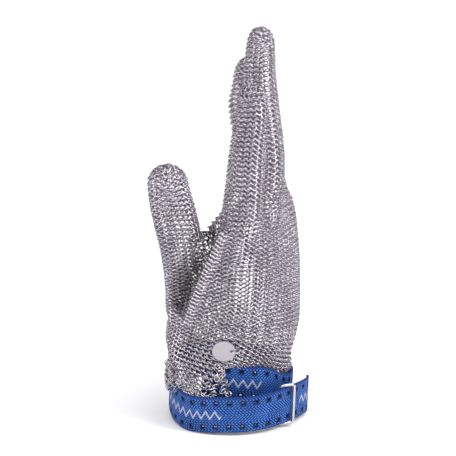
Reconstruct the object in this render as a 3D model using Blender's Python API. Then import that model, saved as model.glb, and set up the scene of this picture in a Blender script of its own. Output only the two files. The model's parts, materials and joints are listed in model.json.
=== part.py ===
"""Ring-mail glove for a right hand, with a woven wrist strap.

+Z runs along the fingers, -X is the thumb side, +Y the palm side and -Y the back of the hand.
The origin is the middle of the wrist opening. Tables are in millimetres, the model in metres.
"""

import math

import bmesh
import bpy
from mathutils import Vector

MM = 0.001
GAP = 0.3

# The mail: welded rings about 4 mm across that lean on each other, as one wall.
MAIL_WALL = 2.0
HAND_SIDES = 48
FINGER_SIDES = 20
DOME_ROWS = 4
DOME_TURN = 86.0
FINGER_CUT_Z = 112.0
THUMB_CUT_Z = 101.0
ROW_STEP = 12.0
HAND_LEVELS = (40.0, 50.0, 60.0, 70.0, 80.0, 90.0, 98.0, 104.0)
CUFF_LEVELS_INSIDE = (-12.0, 6.0, 14.0, 22.0, 31.0)
# The rows between the hem and the first level, as shares of the way up.
CUFF_SHARES = (0.0, 0.33, 0.66, 1.0)
# The closed top of the hand between the fingers: share of the last section's size, rise above it
CROWN = ((1.0, 0.0), (0.8, 1.4), (0.35, 2.2))

# The cuff leans: the strap's plane rises to the little-finger side and to the palm side.
CUFF_RISE_X = 0.2
CUFF_RISE_Y = 0.1
CUFF_HEIGHT = 6.3

# Palm and back, from the cuff to the knuckles: one superellipse for each height.
# z, centre x, centre y, half width x, half width y, squareness
HAND_SECTIONS = (
    (-12.0, -0.5, 2.0, 38.0, 34.0, 2.0),
    (12.0, -1.0, 3.0, 37.2, 33.4, 2.0),
    (22.0, -1.0, 3.6, 37.3, 33.2, 2.0),
    (31.0, -0.5, 3.2, 38.5, 35.4, 2.05),
    (40.0, 0.0, 1.8, 40.5, 35.4, 2.15),
    (52.0, 0.0, -2.8, 42.5, 30.0, 2.35),
    (66.0, 0.0, -6.8, 44.0, 24.8, 2.5),
    (80.0, 0.0, -9.6, 44.5, 19.8, 2.6),
    (94.0, -0.5, -11.3, 44.3, 15.8, 2.6),
    (103.0, -1.0, -12.4, 43.0, 12.6, 2.5),
    (108.5, -1.0, -13.0, 38.5, 9.0, 2.2),
)
# Soft folds and dents in the palm and back, each fading out around its middle.
# angle round the hand, z, degrees to each side, height to each side, depth outwards
FOLDS = (
    (222.0, 44.0, 10.0, 9.0, 0.9),
    (206.0, 30.0, 7.0, 7.0, -0.7),
    (236.0, 30.0, 8.0, 7.0, 0.7),
    (255.0, 62.0, 9.0, 16.0, -0.7),
    (120.0, 40.0, 9.0, 8.0, -0.9),
    (92.0, 58.0, 10.0, 14.0, 0.8),
    (70.0, 74.0, 9.0, 18.0, -1.0),
    (40.0, 52.0, 10.0, 14.0, 0.8),
    (10.0, 40.0, 9.0, 10.0, -0.8),
    (322.0, 40.0, 9.0, 12.0, 0.7),
    (300.0, 60.0, 8.0, 18.0, -0.6),
)

# Sleeves of the digits and the web of the thumb. The last row's dome closes each tip.
# z, centre x, centre y, half width x, half width y
INDEX_SECTIONS = (
    (84.0, -32.0, -12.5, 10.8, 12.0),
    (104.0, -31.8, -13.0, 10.4, 11.8),
    (120.0, -31.2, -14.2, 10.2, 11.0),
    (138.0, -30.4, -15.4, 9.9, 10.4),
    (152.0, -29.8, -16.6, 9.5, 9.6),
    (170.0, -29.0, -18.3, 8.6, 8.5),
)
MIDDLE_SECTIONS = (
    (84.0, -9.5, -15.0, 10.6, 12.5),
    (106.0, -9.0, -17.0, 10.2, 11.5),
    (124.0, -8.6, -19.2, 10.0, 10.6),
    (140.0, -8.4, -19.6, 9.8, 10.0),
    (160.0, -8.2, -17.3, 9.5, 9.5),
    (175.0, -8.0, -15.8, 9.2, 9.2),
    (188.0, -8.0, -15.2, 8.8, 8.7),
    (196.0, -8.0, -16.0, 8.0, 7.9),
)
RING_SECTIONS = (
    (84.0, 12.5, -14.0, 10.4, 12.2),
    (106.0, 12.8, -13.5, 10.0, 11.0),
    (122.0, 13.2, -9.8, 9.8, 10.2),
    (138.0, 13.6, -4.2, 9.6, 9.8),
    (154.0, 14.0, -0.2, 9.4, 9.6),
    (164.0, 14.2, -0.6, 9.1, 9.1),
    (170.0, 14.2, -1.4, 8.4, 8.2),
)
LITTLE_SECTIONS = (
    (84.0, 33.0, -12.0, 9.6, 11.5),
    (100.0, 33.4, -10.0, 9.2, 10.0),
    (112.0, 33.8, -7.8, 8.8, 9.3),
    (126.0, 34.2, -4.0, 8.5, 8.7),
    (144.0, 34.4, 2.0, 7.9, 8.0),
)
THUMB_SECTIONS = (
    (26.0, -19.0, 12.0, 8.0, 10.0),
    (44.0, -24.0, 21.4, 10.5, 10.2),
    (56.0, -27.0, 20.8, 9.8, 10.2),
    (68.0, -30.6, 19.8, 9.8, 10.9),
    (82.0, -36.6, 18.8, 10.3, 11.2),
    (94.0, -41.0, 18.8, 10.6, 11.9),
    (104.0, -44.0, 19.6, 10.6, 12.9),
    (114.0, -45.2, 21.6, 10.5, 12.6),
    (126.0, -46.1, 23.6, 9.9, 11.4),
)
WEB_SECTIONS = (
    (40.0, -30.0, 4.0, 8.0, 14.0),
    (60.0, -31.0, 4.0, 7.0, 14.0),
    (84.0, -32.6, 4.6, 5.6, 13.4),
    (94.0, -33.0, 1.4, 5.2, 11.2),
    (102.0, -33.2, -2.4, 4.6, 8.0),
    (106.0, -33.2, -4.6, 4.2, 5.8),
)
# The mail over the ball of the thumb, whose rounded edge the thumb's sleeve comes out from behind.
PANEL_SECTIONS = (
    (36.0, -30.0, 6.0, 9.0, 16.0),
    (48.0, -33.0, 7.0, 10.0, 17.0),
    (58.0, -34.4, 4.5, 9.8, 16.5),
    (70.0, -35.0, 1.0, 9.6, 15.2),
    (84.0, -34.6, -3.2, 10.0, 14.6),
    (98.0, -33.4, -8.2, 10.2, 13.6),
)
# Height of each sleeve's tip.
TIPS = {"index": 180.5, "middle": 206.5, "ring": 184.5, "little": 153.5, "thumb": 137.0, "web": 110.5, "panel": 106.0}

# The strap: one woven band with two rows of eyelets, round the wrist one and a half times.
STRAP_WIDTH = 21.6
STRAP_THICKNESS = 1.4
STRAP_CENTRE = (0.0, -0.3)
STRAP_HALF_SIZES = (38.5, 35.5)
EYELET_SIZE = 2.2
EYELET_PITCH = 7.3
EYELET_FROM_EDGE = 3.5
# angle round the wrist, distance outside the strap's ellipse, lift above the cuff's plane
STRAP_ROUTE = (
    (160.0, -6.6, 14.6),
    (195.0, -6.4, 14.6),
    (230.0, -5.6, 11.2),
    (257.0, -5.6, 2.2),
    (288.0, -6.0, -4.0),
    (330.0, -6.0, -6.0),
    (378.0, -4.5, -6.0),
    (430.0, -1.2, -3.6),
    (462.0, 0.5, -3.2),
    (484.0, 0.9, -5.4),
    (500.0, 1.2, -5.5),
    (515.0, 1.5, -4.6),
    (530.0, 1.5, -2.3),
    (546.0, 1.1, -0.4),
    (570.0, 0.6, 0.2),
    (600.0, 0.2, -0.5),
    (616.0, 0.2, -1.8),
    (626.0, 1.2, -3.0),
    (637.0, 2.2, -5.0),
    (645.0, 2.6, -7.0),
    (651.0, 2.6, -8.0),
)

# The slit in the cuff: from this angle the mail's edge follows the strap's first turn, back to the slit.
SLIT_ANGLE = 192.0
SLIT_EDGE = 3.0
# The slit leans: how far, in degrees, its two edges move round at each of the cuff's rows.
# row, flap's edge, edge past the slit
SLIT_LEAN = (
    (0.0, 0.0, -12.0),
    (0.33, -9.0, -9.0),
    (0.66, -11.0, -4.0),
    (1.0, -3.0, 0.0),
)
SLIT_LEAN_REACH = 45.0
HEM_ABOVE_STRAP = 0.5

# The slide: a wire loop, one long bar behind the strap's outer layer and one before it.
SLIDE_ANGLE = 608.0
SLIDE_WIRE_RADIUS = 0.9
SLIDE_HALF_HEIGHT = 11.9
SLIDE_HALF_WIDTH = 3.4
SLIDE_LEAN = 2.2
SLIDE_CORNER = 1.6

# The tag: a thin disc that hangs from one ring at its edge.
TAG_RADIUS = 6.2
TAG_THICKNESS = 0.8
TAG_OFF_MAIL = 0.8
TAG_HOLE_RADIUS = 0.8
TAG_HOLE_FROM_EDGE = 1.9
TAG_HEIGHT = 34.0
TAG_ANGLE = 192.3
TAG_RING_RADIUS = 2.1
TAG_RING_WIRE = 0.4

STRAP_UP = Vector((-CUFF_RISE_X, -CUFF_RISE_Y, 1.0)).normalized()
STEEL = (0.66, 0.65, 0.68)
BLUE = (0.035, 0.13, 0.52)


def clear_scene():
    for item in list(bpy.data.objects):
        bpy.data.objects.remove(item, do_unlink=True)


def material(name, colour, roughness, metallic):
    made = bpy.data.materials.new(name)
    made.use_nodes = True
    shader = made.node_tree.nodes["Principled BSDF"]
    shader.inputs["Base Color"].default_value = (*colour, 1.0)
    shader.inputs["Roughness"].default_value = roughness
    shader.inputs["Metallic"].default_value = metallic
    return made


def object_from(name, build, surface=None):
    """An object whose mesh `build` fills in, scaled from millimetres."""
    bm = bmesh.new()
    build(bm)
    bmesh.ops.recalc_face_normals(bm, faces=bm.faces)
    bmesh.ops.scale(bm, vec=(MM, MM, MM), verts=bm.verts)
    mesh = bpy.data.meshes.new(name)
    bm.to_mesh(mesh)
    bm.free()
    mesh.shade_smooth()
    mesh.set_sharp_from_angle(angle=math.radians(40))
    made = bpy.data.objects.new(name, mesh)
    bpy.context.collection.objects.link(made)
    if surface:
        mesh.materials.append(surface)
    return made


def smooth_row(table, at):
    """The table's row at this first-column value, on a smooth curve through its rows."""
    if at <= table[0][0]:
        return table[0][1:]
    if at >= table[-1][0]:
        return table[-1][1:]
    after = next(i for i, row in enumerate(table) if row[0] > at)
    low, high = table[after - 1], table[after]
    before = table[max(after - 2, 0)]
    beyond = table[min(after + 1, len(table) - 1)]
    span = high[0] - low[0]
    t = (at - low[0]) / span
    found = []
    for column in range(1, len(low)):
        slope_low = (high[column] - before[column]) / (high[0] - before[0]) * span
        slope_high = (beyond[column] - low[column]) / (beyond[0] - low[0]) * span
        found.append(
            (2 * t**3 - 3 * t**2 + 1) * low[column]
            + (t**3 - 2 * t**2 + t) * slope_low
            + (3 * t**2 - 2 * t**3) * high[column]
            + (t**3 - t**2) * slope_high
        )
    return found


def superellipse(centre, half_x, half_y, angle, squareness=2.0):
    cosine, sine = math.cos(angle), math.sin(angle)
    power = 2.0 / squareness
    x = centre[0] + math.copysign(abs(cosine) ** power, cosine) * half_x
    y = centre[1] + math.copysign(abs(sine) ** power, sine) * half_y
    return x, y


def loft(bm, rings):
    """A closed solid through rings of points, each with the same count."""
    rows = [[bm.verts.new(point) for point in ring] for ring in rings]
    for low, high in zip(rows, rows[1:]):
        for i in range(len(low)):
            after = (i + 1) % len(low)
            bm.faces.new((low[i], low[after], high[after], high[i]))
    bm.faces.new(reversed(rows[0]))
    bm.faces.new(rows[-1])


def levels(low, high, step):
    count = max(2, round((high - low) / step) + 1)
    return [low + (high - low) * i / (count - 1) for i in range(count)]


def sleeve_rings(table, tip, inset, low, high=None):
    """Rings of a digit's sleeve from `low` up to `high`, or up to its domed tip."""
    dome_base = table[-1][0]
    rings = []
    for z in levels(low, high or dome_base, ROW_STEP):
        x, y, half_x, half_y = smooth_row(table, z)
        rings.append(ellipse_ring(z, x, y, half_x - inset, half_y - inset))
    if high:
        return rings
    x, y, half_x, half_y = table[-1][1:]
    rise = tip - inset - dome_base
    for i in range(1, DOME_ROWS + 1):
        turn = math.radians(DOME_TURN) * i / DOME_ROWS
        shrink = math.cos(turn)
        z = dome_base + rise * math.sin(turn)
        rings.append(ellipse_ring(z, x, y, (half_x - inset) * shrink, (half_y - inset) * shrink))
    return rings


def ellipse_ring(z, x, y, half_x, half_y):
    turns = [2 * math.pi * i / FINGER_SIDES for i in range(FINGER_SIDES)]
    return [(*superellipse((x, y), half_x, half_y, turn), z) for turn in turns]


def cuff_plane(x, y):
    return CUFF_HEIGHT + CUFF_RISE_X * x + CUFF_RISE_Y * y


def hem_height(x, y, past_slit):
    """Height of the mail's lower edge, just above the strap's first turn from the slit."""
    to_edge = STRAP_UP * (STRAP_WIDTH / 2)
    across = (x - to_edge.x - STRAP_CENTRE[0]) / STRAP_HALF_SIZES[0]
    along = (y - to_edge.y - STRAP_CENTRE[1]) / STRAP_HALF_SIZES[1]
    degrees = math.degrees(math.atan2(along, across)) % 360.0
    centre, _ = strap_frame(degrees if past_slit else degrees + 360.0)
    return centre.z + to_edge.z + HEM_ABOVE_STRAP


def hand_turns():
    """Angles of the hand's columns in degrees, with two close together at the slit's edge."""
    turns = [360.0 * i / HAND_SIDES for i in range(HAND_SIDES)]
    nearest = min(range(HAND_SIDES), key=lambda i: abs(turns[i] - SLIT_ANGLE))
    turns[nearest] = SLIT_ANGLE
    turns[nearest - 1] = SLIT_ANGLE - SLIT_EDGE
    return turns


def fold_at(z, degrees):
    """How far the folds push the hand's surface out at this height and angle."""
    depth = 0.0
    for middle, height, wide, tall, out in FOLDS:
        depth += out * math.exp(-(((degrees - middle) / wide) ** 2) - ((z - height) / tall) ** 2)
    return depth


def hand_point(z, inset, degrees):
    x, y, half_x, half_y, squareness = smooth_row(HAND_SECTIONS, z)
    out = fold_at(z, degrees) - inset
    return superellipse((x, y), half_x + out, half_y + out, math.radians(degrees), squareness)


def slit_lean(degrees, row):
    """How far this column moves round at this row, most at the slit's edges."""
    flap, past = smooth_row(SLIT_LEAN, row)
    fade = max(0.0, 1.0 - abs(degrees - SLIT_ANGLE) / SLIT_LEAN_REACH)
    return (past if degrees >= SLIT_ANGLE else flap) * fade


def hand_ring(z, inset, turns, row=None):
    """One ring of the hand at height z. row, from 0 to 1, puts it between the hem and z."""
    ring = []
    for degrees in turns:
        height = z
        turned = degrees
        if row is not None:
            turned += slit_lean(degrees, row)
            x, y = hand_point(z, inset, turned)
            height = hem_height(x, y, degrees >= SLIT_ANGLE) * (1.0 - row) + z * row
        x, y = hand_point(height, inset, turned)
        ring.append((x, y, height))
    return ring


def hand_rings(inset, open_below):
    turns = hand_turns()
    low, top = HAND_LEVELS[0], HAND_SECTIONS[-1]
    if open_below:
        rings = [hand_ring(z, inset, turns) for z in (*CUFF_LEVELS_INSIDE, low)]
    else:
        rings = [hand_ring(low, MAIL_WALL + 1.0, turns, 0.0)]
        rings += [hand_ring(low, inset, turns, share) for share in CUFF_SHARES]
    for z in HAND_LEVELS[1:]:
        rings.append(hand_ring(z, inset, turns))
    for shrink, rise in CROWN:
        ring = []
        for degrees in turns:
            half_x, half_y = (top[3] - inset) * shrink, (top[4] - inset) * shrink
            at = superellipse(top[1:3], half_x, half_y, math.radians(degrees), top[5])
            ring.append((*at, top[0] - inset + rise))
        rings.append(ring)
    return rings


SLEEVES = {
    "index": (INDEX_SECTIONS, FINGER_CUT_Z),
    "middle": (MIDDLE_SECTIONS, FINGER_CUT_Z),
    "ring": (RING_SECTIONS, FINGER_CUT_Z),
    "little": (LITTLE_SECTIONS, FINGER_CUT_Z),
    "thumb": (THUMB_SECTIONS, THUMB_CUT_Z),
}


def boolean(target, other, operation):
    modifier = target.modifiers.new(operation.lower(), "BOOLEAN")
    modifier.operation = operation
    modifier.solver = "EXACT"
    modifier.object = other
    other.hide_render = True
    other.display_type = "WIRE"


def guide(name, rings):
    made = object_from(name, lambda bm: loft(bm, rings))
    made.hide_render = True
    made.display_type = "WIRE"
    return made


def make_hand(surface):
    """The mail round the palm, with a stub for each digit, hollowed through to the stubs' ends."""
    hand = object_from("hand_mail", lambda bm: loft(bm, hand_rings(0.0, False)), surface)
    folds = {"web": WEB_SECTIONS, "panel": PANEL_SECTIONS}
    for name, table in folds.items():
        outside = sleeve_rings(table, TIPS[name], 0.0, table[0][0])
        boolean(hand, guide(f"{name}_outside", outside), "UNION")
    for name, (table, cut) in SLEEVES.items():
        stub = sleeve_rings(table, TIPS[name], 0.0, table[0][0], cut - GAP / 2)
        boolean(hand, guide(f"{name}_stub", stub), "UNION")
    boolean(hand, guide("hand_inside", hand_rings(MAIL_WALL, True)), "DIFFERENCE")
    for name, table in folds.items():
        inside = sleeve_rings(table, TIPS[name], MAIL_WALL, table[0][0] + 4.0)
        boolean(hand, guide(f"{name}_inside", inside), "DIFFERENCE")
    for name, (table, cut) in SLEEVES.items():
        hollow = sleeve_rings(table, TIPS[name], MAIL_WALL, table[0][0] + 3.0, cut + 2.0)
        boolean(hand, guide(f"{name}_hollow", hollow), "DIFFERENCE")
    return hand


def make_sleeve(name, surface):
    """A digit's sleeve: its outer wall, the round lip at its base and its inner wall, as one skin."""
    table, cut = SLEEVES[name]
    outside = sleeve_rings(table, TIPS[name], 0.0, cut + GAP / 2)
    inside = sleeve_rings(table, TIPS[name], MAIL_WALL, cut + GAP / 2)
    return object_from(f"{name}_mail", lambda bm: loft(bm, outside[::-1] + inside), surface)


def strap_frame(degrees):
    """Centre line and outward direction of the band at this angle."""
    offset, lift = smooth_row(STRAP_ROUTE, degrees)
    half_x, half_y = STRAP_HALF_SIZES
    turn = math.radians(degrees)
    x, y = superellipse(STRAP_CENTRE, half_x + offset, half_y + offset, turn)
    outward = Vector((math.cos(turn) / half_x, math.sin(turn) / half_y, 0.0)).normalized()
    outward = (outward - STRAP_UP * outward.dot(STRAP_UP)).normalized()
    return Vector((x, y, cuff_plane(x, y) + lift)), outward


def strap_stations():
    """Angles of the band's columns, an eyelet's two sides at each pitch along its length."""
    start, end = STRAP_ROUTE[0][0], STRAP_ROUTE[-1][0]
    angles = [start + 0.5 * i for i in range(int((end - start) * 2) + 1)]
    lengths = [0.0]
    for low, high in zip(angles, angles[1:]):
        lengths.append(lengths[-1] + (strap_frame(high)[0] - strap_frame(low)[0]).length)
    count = int((lengths[-1] - EYELET_PITCH) / EYELET_PITCH)
    first = (lengths[-1] - (count - 1) * EYELET_PITCH) / 2
    wanted = [0.0]
    for i in range(count):
        middle = first + i * EYELET_PITCH
        wanted += [middle - EYELET_SIZE / 2, middle + EYELET_SIZE / 2]
    wanted.append(lengths[-1])
    stations = []
    for length in wanted:
        after = next((i for i, total in enumerate(lengths) if total >= length), len(lengths) - 1)
        after = max(after, 1)
        share = (length - lengths[after - 1]) / (lengths[after] - lengths[after - 1])
        stations.append(angles[after - 1] + (angles[after] - angles[after - 1]) * share)
    return stations


def build_strap(bm):
    """The band as a grid of cells, open where an eyelet goes through."""
    edge = STRAP_WIDTH / 2
    eyelet = edge - EYELET_FROM_EDGE
    near, far = eyelet - EYELET_SIZE / 2, eyelet + EYELET_SIZE / 2
    heights = (-edge, -far, -near, near, far, edge)
    columns = []
    for degrees in strap_stations():
        centre, outward = strap_frame(degrees)
        step = outward * (STRAP_THICKNESS / 2)
        column = []
        for height in heights:
            point = centre + STRAP_UP * height
            column.append((bm.verts.new(point - step), bm.verts.new(point + step)))
        columns.append(column)

    def is_open(i, j):
        return j in (1, 3) and i % 2 == 1 and i < len(columns) - 2

    def is_solid(i, j):
        return 0 <= i < len(columns) - 1 and 0 <= j < len(heights) - 1 and not is_open(i, j)

    for i in range(len(columns) - 1):
        for j in range(len(heights) - 1):
            if not is_solid(i, j):
                continue
            corners = (columns[i][j], columns[i + 1][j], columns[i + 1][j + 1], columns[i][j + 1])
            bm.faces.new([corner[0] for corner in corners])
            bm.faces.new([corner[1] for corner in reversed(corners)])
            sides = (
                ((i, j - 1), corners[0], corners[1]),
                ((i + 1, j), corners[1], corners[2]),
                ((i, j + 1), corners[2], corners[3]),
                ((i - 1, j), corners[3], corners[0]),
            )
            for neighbour, first, second in sides:
                if not is_solid(*neighbour):
                    bm.faces.new((first[0], first[1], second[1], second[0]))


def wire_loop(bm, points, radius, sides=8):
    """A closed wire through the points of a flat loop."""
    count = len(points)
    middle = sum(points, Vector()) / count
    normal = (points[0] - middle).cross(points[1] - middle).normalized()
    rings = []
    for i, point in enumerate(points):
        along = (points[(i + 1) % count] - points[i - 1]).normalized()
        across = along.cross(normal)
        ring = []
        for j in range(sides):
            turn = 2 * math.pi * (j + 0.5) / sides
            ring.append(bm.verts.new(point + (across * math.cos(turn) + normal * math.sin(turn)) * radius))
        rings.append(ring)
    for i, ring in enumerate(rings):
        after = rings[(i + 1) % count]
        for j in range(sides):
            up = (j + 1) % sides
            bm.faces.new((ring[j], ring[up], after[up], after[j]))


def build_slide(bm):
    centre, outward = strap_frame(SLIDE_ANGLE)
    along = STRAP_UP.cross(outward).normalized()
    sideways = (along * SLIDE_HALF_WIDTH + outward * SLIDE_LEAN).normalized()
    half_width = math.hypot(SLIDE_HALF_WIDTH, SLIDE_LEAN)
    points = []
    for corner, (side, top) in enumerate(((1, 1), (-1, 1), (-1, -1), (1, -1))):
        for i in range(4):
            turn = math.radians(90 * corner + 30 * i)
            points.append(
                centre
                + sideways * (side * (half_width - SLIDE_CORNER) + math.cos(turn) * SLIDE_CORNER)
                + STRAP_UP * (top * (SLIDE_HALF_HEIGHT - SLIDE_CORNER) + math.sin(turn) * SLIDE_CORNER)
            )
    wire_loop(bm, points, SLIDE_WIRE_RADIUS)


def tag_frame():
    """Middle of the tag's back face, its outward direction and the direction of its hole."""
    middle = Vector(hand_ring(TAG_HEIGHT, 0.0, [TAG_ANGLE])[0])
    above = Vector(hand_ring(TAG_HEIGHT + TAG_RADIUS, 0.0, [TAG_ANGLE])[0])
    beside = Vector(hand_ring(TAG_HEIGHT, 0.0, [TAG_ANGLE + 5.0])[0])
    side = (beside - middle).normalized()
    outward = side.cross(above - middle).normalized()
    return middle + outward * TAG_OFF_MAIL, outward, side


def disc(bm, centre, axis, radius, depth, sides):
    across = axis.orthogonal().normalized()
    other = axis.cross(across)
    turns = [2 * math.pi * i / sides for i in range(sides)]
    flat = [across * math.cos(turn) * radius + other * math.sin(turn) * radius for turn in turns]
    loft(bm, [[centre + point for point in flat], [centre + axis * depth + point for point in flat]])


def make_tag(surface):
    centre, outward, side = tag_frame()
    tag = object_from("tag", lambda bm: disc(bm, centre, outward, TAG_RADIUS, TAG_THICKNESS, 32), surface)
    hole = centre + side * (TAG_RADIUS - TAG_HOLE_FROM_EDGE) - outward
    cutter = object_from(
        "tag_hole", lambda bm: disc(bm, hole, outward, TAG_HOLE_RADIUS, TAG_THICKNESS + 2.0, 12)
    )
    boolean(tag, cutter, "DIFFERENCE")
    return tag


def build_tag_ring(bm, wire):
    """The ring through the tag's hole and the mail beside it."""
    centre, outward, side = tag_frame()
    reach = TAG_RADIUS - TAG_HOLE_FROM_EDGE + TAG_RING_RADIUS
    middle = centre + side * reach + outward * (TAG_THICKNESS / 2)
    points = []
    for i in range(12):
        turn = 2 * math.pi * i / 12
        points.append(middle + (side * math.cos(turn) + outward * math.sin(turn)) * TAG_RING_RADIUS)
    wire_loop(bm, points, wire)


def main():
    clear_scene()
    mail = material("mail_steel", STEEL, 0.3, 1.0)
    webbing = material("strap_webbing", BLUE, 0.75, 0.0)
    wire = material("slide_wire", STEEL, 0.22, 1.0)
    plate = material("tag_steel", STEEL, 0.45, 1.0)
    hand = make_hand(mail)
    for name in SLEEVES:
        make_sleeve(name, mail)
    object_from("strap", build_strap, webbing)
    object_from("slide", build_slide, wire)
    make_tag(plate)
    object_from("tag_ring", lambda bm: build_tag_ring(bm, TAG_RING_WIRE), wire)
    clearance = object_from("tag_ring_clearance", lambda bm: build_tag_ring(bm, TAG_RING_WIRE + GAP))
    boolean(hand, clearance, "DIFFERENCE")


main()
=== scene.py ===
import heapq
import json
import math

import bpy
import numpy as np
from mathutils import Matrix, Vector
from mathutils.bvhtree import BVHTree

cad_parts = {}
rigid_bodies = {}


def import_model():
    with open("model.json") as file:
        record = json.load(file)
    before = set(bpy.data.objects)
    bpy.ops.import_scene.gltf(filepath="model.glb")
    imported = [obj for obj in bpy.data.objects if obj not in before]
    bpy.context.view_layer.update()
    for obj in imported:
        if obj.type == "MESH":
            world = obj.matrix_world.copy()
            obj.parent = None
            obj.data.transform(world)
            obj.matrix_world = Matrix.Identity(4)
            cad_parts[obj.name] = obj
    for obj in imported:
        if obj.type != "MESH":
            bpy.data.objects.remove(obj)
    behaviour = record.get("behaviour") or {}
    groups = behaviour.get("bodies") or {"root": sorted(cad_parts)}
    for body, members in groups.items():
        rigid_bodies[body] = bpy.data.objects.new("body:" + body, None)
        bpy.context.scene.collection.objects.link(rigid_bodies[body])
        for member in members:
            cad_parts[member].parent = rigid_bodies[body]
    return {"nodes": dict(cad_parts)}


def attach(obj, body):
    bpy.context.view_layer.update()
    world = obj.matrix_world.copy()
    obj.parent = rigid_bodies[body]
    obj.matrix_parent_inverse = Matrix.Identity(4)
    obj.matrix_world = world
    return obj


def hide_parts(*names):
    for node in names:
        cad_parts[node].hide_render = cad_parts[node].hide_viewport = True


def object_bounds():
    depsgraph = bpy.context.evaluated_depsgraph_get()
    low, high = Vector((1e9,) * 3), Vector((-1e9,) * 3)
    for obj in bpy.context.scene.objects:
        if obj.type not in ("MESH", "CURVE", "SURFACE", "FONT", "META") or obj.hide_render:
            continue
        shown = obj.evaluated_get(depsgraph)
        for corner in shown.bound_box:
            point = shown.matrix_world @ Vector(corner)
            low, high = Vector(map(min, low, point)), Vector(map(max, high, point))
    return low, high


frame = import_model()
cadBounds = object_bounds()
nodes = frame["nodes"]
sleeveNames = ["hand_mail", "thumb_mail", "index_mail", "middle_mail", "ring_mail", "little_mail"]
mergeDistance = 1e-6         # corners of a CAD node's loose triangles closer than this are one


def pickOnly(*objects):
    if bpy.context.object and bpy.context.object.mode != "OBJECT":
        bpy.ops.object.mode_set(mode="OBJECT")
    bpy.ops.object.select_all(action="DESELECT")
    for item in objects:
        item.select_set(True)
    bpy.context.view_layer.objects.active = objects[0]


def applyPlace(piece):
    pickOnly(piece)
    bpy.ops.object.transform_apply(location=True, rotation=True, scale=True)


def applyModifiers(piece):
    pickOnly(piece)
    for modifier in list(piece.modifiers):
        bpy.ops.object.modifier_apply(modifier=modifier.name)


def editAll(piece, *steps):
    pickOnly(piece)
    bpy.ops.object.mode_set(mode="EDIT")
    bpy.ops.mesh.select_all(action="SELECT")
    for step in steps:
        step()
    bpy.ops.object.mode_set(mode="OBJECT")


def pickParts(piece, kind, test):
    # kind is VERT or FACE; the test reads each one's place and normal; ends in edit mode
    pickOnly(piece)
    bpy.ops.object.mode_set(mode="EDIT")
    bpy.ops.mesh.select_mode(type=kind)
    bpy.ops.mesh.select_all(action="DESELECT")
    bpy.ops.object.mode_set(mode="OBJECT")
    if kind == "VERT":
        for vert in piece.data.vertices:
            vert.select = bool(test(vert.co, vert.normal))
    else:
        for face in piece.data.polygons:
            face.select = bool(test(face.center, face.normal))
    bpy.ops.object.mode_set(mode="EDIT")


def copyOf(node, name):
    # a CAD node's mesh is loose triangles, so its copy is merged before it is worked on
    pickOnly(nodes[node])
    bpy.ops.object.duplicate()
    copy = bpy.context.object
    copy.name = name
    copy.parent = None
    for key in list(copy.keys()):
        del copy[key]
    copy.data.materials.clear()
    editAll(copy, lambda: bpy.ops.mesh.remove_doubles(threshold=mergeDistance))
    return copy


def addModifier(piece, kind, **settings):
    modifier = piece.modifiers.new(kind.lower(), kind)
    for name, value in settings.items():
        setattr(modifier, name, value)


def finishPiece(piece, node, material):
    piece.data.materials.append(material)
    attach(piece, "root")
    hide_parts(node)


class Wire:
    # one value inside a material's nodes; + - and * on it add Math nodes
    def __init__(self, tree, socket):
        self.tree = tree
        self.socket = socket

    def math(self, operation, *others):
        return addNode(self.tree, "ShaderNodeMath", {"operation": operation}, [self, *others])

    def __add__(self, other):
        return self.math("ADD", other)

    def __radd__(self, other):
        return self.math("ADD", other)

    def __sub__(self, other):
        return self.math("SUBTRACT", other)

    def __rsub__(self, other):
        return addNode(self.tree, "ShaderNodeMath", {"operation": "SUBTRACT"}, [other, self])

    def __mul__(self, other):
        return self.math("MULTIPLY", other)

    def __rmul__(self, other):
        return self.math("MULTIPLY", other)

    def between(self, low, high):
        # 0 below low, 1 above high, smooth from one to the other
        return addNode(
            self.tree, "ShaderNodeMapRange", {"interpolation_type": "SMOOTHSTEP"},
            {"Value": self, "From Min": low, "From Max": high},
        )


def addNode(tree, kind, settings=None, values=None, out=0):
    node = tree.nodes.new(kind)
    for name, value in (settings or {}).items():
        if name == "stops":
            ramp = node.color_ramp
            while len(ramp.elements) < len(value):
                ramp.elements.new(0.5)
            for element, (place, colour) in zip(ramp.elements, value):
                element.position = place
                element.color = (*colour, 1.0)
        else:
            setattr(node, name, value)
    pairs = values.items() if isinstance(values, dict) else enumerate(values or [])
    for name, value in pairs:
        if isinstance(value, Wire):
            tree.links.new(value.socket, node.inputs[name])
        else:
            node.inputs[name].default_value = value
    return Wire(tree, node.outputs[out])


def newMaterial(name, fixed):
    made = bpy.data.materials.new(name)
    made.use_nodes = True
    shader = made.node_tree.nodes["Principled BSDF"]
    for socket, value in fixed.items():
        shader.inputs[socket].default_value = value
    return made, made.node_tree, shader


def feed(shader, socket, wire):
    wire.tree.links.new(wire.socket, shader.inputs[socket])


def mixColours(tree, share, first, second):
    # sockets 6 and 7 are the node's colours, and output 2 is the mixed one
    return addNode(tree, "ShaderNodeMix", {"data_type": "RGBA"}, {0: share, 6: first, 7: second}, out=2)


def objectPlace(tree):
    return addNode(tree, "ShaderNodeTexCoord", out=3)


def noiseAt(tree, place, scale, detail=2.0):
    return addNode(tree, "ShaderNodeTexNoise", {}, {"Vector": place, "Scale": scale, "Detail": detail})


def bumpOf(tree, height, distance, strength=1.0):
    return addNode(
        tree, "ShaderNodeBump", {}, {"Height": height, "Distance": distance, "Strength": strength}
    )


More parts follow.
